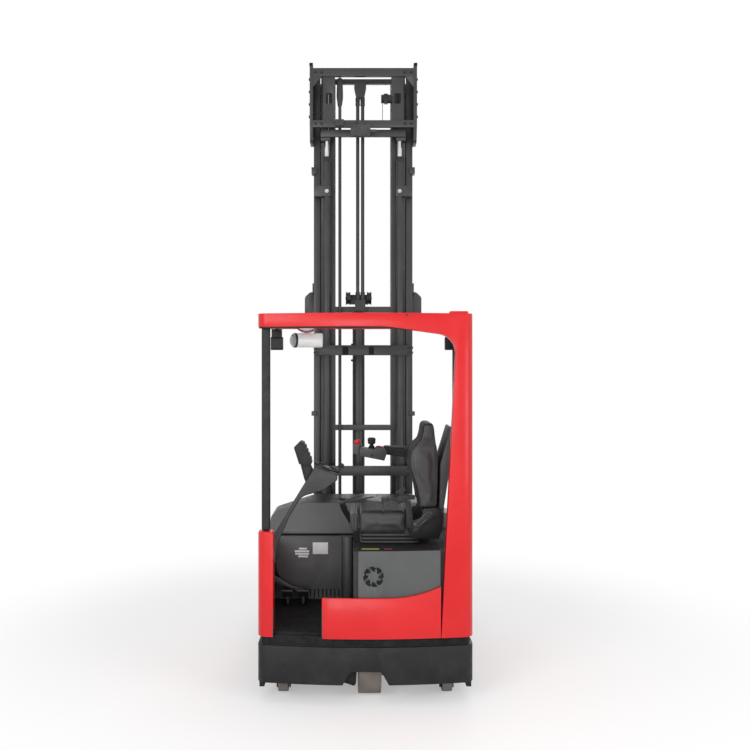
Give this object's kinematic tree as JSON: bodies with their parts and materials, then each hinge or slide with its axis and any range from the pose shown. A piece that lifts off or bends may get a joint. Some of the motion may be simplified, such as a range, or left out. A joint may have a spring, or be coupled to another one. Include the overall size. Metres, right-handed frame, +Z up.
{
  "type": "reach truck",
  "caption": "Electric sit-on reach truck: side-facing seat under a guard, telescopic mast on a carriage that moves out between straddle arms, and tilting, side-shifting forks.",
  "frame": {"origin": "on the floor under the middle of the truck's bounding box, with the mast drawn back and the forks down", "axes": "+Y towards the fork tips, +X to the right when looking towards the forks, +Z up"},
  "size_m": [1.26, 2.8532, 4.15],
  "materials": {
    "frame_dark": "satin dark grey paint",
    "mast_steel": "satin black-grey paint with greased running faces",
    "red_paint": "semi-gloss red paint",
    "body_dark": "fine-grained dark plastic",
    "hood_plastic": "fine-grained grey plastic",
    "cover_grey": "matt grey moulded cover",
    "black_trim": "matt black",
    "mat_rubber": "ribbed black mat",
    "white_plastic": "glossy white housing",
    "seat_cover": "black vinyl seat cover",
    "polyurethane": "brown-grey polyurethane tread",
    "cast_dark": "painted casting",
    "rod_chrome": "polished hard chrome",
    "hose_rubber": "black hose cover",
    "battery_block": "steel battery tray",
    "fork_steel": "forged steel, black paint worn at the tips"
  },
  "bodies": {
    "truck": {"chassis": "frame_dark", "floor_plate": "mat_rubber", "rear_panel": "red_paint", "corner_column": "red_paint", "side_panels": "red_paint", "battery": "battery_block", "hood": "hood_plastic", "bulkhead_cover": "body_dark", "motor_cover": "cover_grey", "cover_post": "black_trim", "guard_frame": "red_paint", "roof_grille": "frame_dark", "guard_post_left": "black_trim", "guard_post_front": "black_trim", "cab_lamp": "white_plastic", "work_lights": "black_trim", "steering_console": "body_dark", "display_unit": "black_trim", "seat_base": "black_trim", "seat_shell": "black_trim", "back_brace": "body_dark", "seat_cushion": "seat_cover", "seat_backrest": "seat_cover", "armrest": "black_trim", "stop_buttons": "red_paint", "pedals": "black_trim", "straddle_arms": "frame_dark", "reach_cylinder": "cast_dark"},
    "steering_wheel": {"steering_wheel": "black_trim"},
    "drive_unit": {"drive_unit": "cast_dark"},
    "drive_wheel": {"drive_wheel": "polyurethane"},
    "castor_left": {"castor_fork_left": "cast_dark"},
    "castor_right": {"castor_fork_right": "cast_dark"},
    "castor_wheel_left": {"castor_wheel_left": "polyurethane"},
    "castor_wheel_right": {"castor_wheel_right": "polyurethane"},
    "load_wheel_left": {"load_wheel_left": "polyurethane"},
    "load_wheel_right": {"load_wheel_right": "polyurethane"},
    "mast_base": {"reach_carriage": "frame_dark", "outer_mast": "mast_steel", "mast_crosshead": "mast_steel", "mast_brackets": "mast_steel", "lift_cylinders": "mast_steel", "reach_rod": "rod_chrome", "valve_block": "cast_dark", "height_sensor": "black_trim"},
    "middle_stage": {"middle_mast": "mast_steel", "lift_rods": "rod_chrome", "supply_hose": "hose_rubber"},
    "inner_stage": {"inner_mast": "mast_steel", "free_lift_cylinder": "mast_steel", "hose_pair": "hose_rubber"},
    "free_lift_rod": {"free_lift_rod": "rod_chrome"},
    "fork_carriage": {"fork_carriage": "frame_dark"},
    "tilt_frame": {"tilt_frame": "frame_dark"},
    "fork_bar": {"fork_bar": "frame_dark", "forks": "fork_steel"}
  },
  "joints": [
    {"name": "steering_wheel_turn", "type": "hinge", "parent": "truck", "child": "steering_wheel", "pos_m": [-0.23178, -1.10765, 1.33981], "axis": [0.3652, 0, 0.9309], "continuous": true},
    {"name": "drive_steer", "type": "hinge", "parent": "truck", "child": "drive_unit", "pos_m": [0.025, -1.19965, 0.1715], "axis": [0, 0, 1], "range_deg": [-90, 90]},
    {"name": "drive_roll", "type": "hinge", "parent": "drive_unit", "child": "drive_wheel", "pos_m": [0.025, -1.19965, 0.1715], "axis": [1, 0, 0], "continuous": true},
    {"name": "castor_swivel_left", "type": "hinge", "parent": "truck", "child": "castor_left", "pos_m": [-0.49, -1.21965, 0.1], "axis": [0, 0, 1], "continuous": true},
    {"name": "castor_roll_left", "type": "hinge", "parent": "castor_left", "child": "castor_wheel_left", "pos_m": [-0.49, -1.19165, 0.078], "axis": [1, 0, 0], "continuous": true},
    {"name": "castor_swivel_right", "type": "hinge", "parent": "truck", "child": "castor_right", "pos_m": [0.49, -1.21965, 0.1], "axis": [0, 0, 1], "continuous": true},
    {"name": "castor_roll_right", "type": "hinge", "parent": "castor_right", "child": "castor_wheel_right", "pos_m": [0.49, -1.19165, 0.078], "axis": [1, 0, 0], "continuous": true},
    {"name": "load_roll_left", "type": "hinge", "parent": "truck", "child": "load_wheel_left", "pos_m": [-0.542, 0.41035, 0.1425], "axis": [1, 0, 0], "continuous": true},
    {"name": "load_roll_right", "type": "hinge", "parent": "truck", "child": "load_wheel_right", "pos_m": [0.542, 0.41035, 0.1425], "axis": [1, 0, 0], "continuous": true},
    {"name": "mast_reach", "type": "slide", "parent": "truck", "child": "mast_base", "axis": [0, 1, 0], "range_m": [0, 0.56]},
    {"name": "main_lift", "type": "slide", "parent": "mast_base", "child": "middle_stage", "axis": [0, 0, 1], "range_m": [0, 2.7]},
    {"name": "inner_lift", "type": "slide", "parent": "middle_stage", "child": "inner_stage", "axis": [0, 0, 1], "range_m": [0, 2.7]},
    {"name": "free_lift", "type": "slide", "parent": "inner_stage", "child": "fork_carriage", "axis": [0, 0, 1], "range_m": [0, 2.9]},
    {"name": "free_rod_lift", "type": "slide", "parent": "inner_stage", "child": "free_lift_rod", "axis": [0, 0, 1], "range_m": [0, 1.45]},
    {"name": "fork_tilt", "type": "hinge", "parent": "fork_carriage", "child": "tilt_frame", "pos_m": [0, 0.16035, 0.25], "axis": [1, 0, 0], "range_deg": [-1, 5]},
    {"name": "side_shift", "type": "slide", "parent": "tilt_frame", "child": "fork_bar", "axis": [1, 0, 0], "range_m": [-0.075, 0.075]}
  ],
  "couplings": [
    {"joint": "inner_lift", "follows": "main_lift", "ratio": 1},
    {"joint": "free_rod_lift", "follows": "free_lift", "ratio": 0.5}
  ]
}
